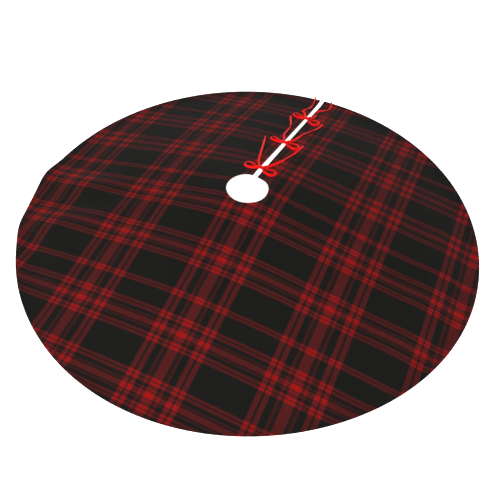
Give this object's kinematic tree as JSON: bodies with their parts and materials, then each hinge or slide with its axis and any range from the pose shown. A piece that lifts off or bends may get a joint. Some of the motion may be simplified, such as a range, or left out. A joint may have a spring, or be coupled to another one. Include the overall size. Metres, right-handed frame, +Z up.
{
  "type": "tree skirt",
  "caption": "Round plaid tree skirt: a low cone of cloth with a trunk hole and a slit that red ribbon bows tie shut.",
  "frame": {"origin": "on the floor, under the middle of the trunk hole", "axes": "+Z up out of the trunk hole, +Y along the slit from the hole to the rim, +X to the right of the slit"},
  "size_m": [1.118, 1.1297, 0.1119],
  "materials": {
    "plaid_cloth": "matte woven plaid: near-black ground, dark red stripes, bright red where two stripes cross",
    "facing_cloth": "matte plain near-black cloth",
    "black_thread": "black sewing thread, faint sheen",
    "red_satin": "bright red satin ribbon"
  },
  "bodies": {
    "root": {"plaid_panel": "plaid_cloth", "rim_facing": "facing_cloth", "hole_facing": "facing_cloth", "slit_facing_left": "facing_cloth", "slit_facing_right": "facing_cloth", "rim_stitching": "black_thread", "hole_stitching": "black_thread", "slit_stitching_left": "black_thread", "slit_stitching_right": "black_thread", "ribbon_tack_1_left": "black_thread", "ribbon_tack_1_right": "black_thread", "ribbon_tack_2_left": "black_thread", "ribbon_tack_2_right": "black_thread", "ribbon_tack_3_left": "black_thread", "ribbon_tack_3_right": "black_thread", "ribbon_1_left": "red_satin", "ribbon_1_right": "red_satin", "ribbon_2_left": "red_satin", "ribbon_2_right": "red_satin", "ribbon_3_left": "red_satin", "ribbon_3_right": "red_satin"}
  },
  "joints": []
}
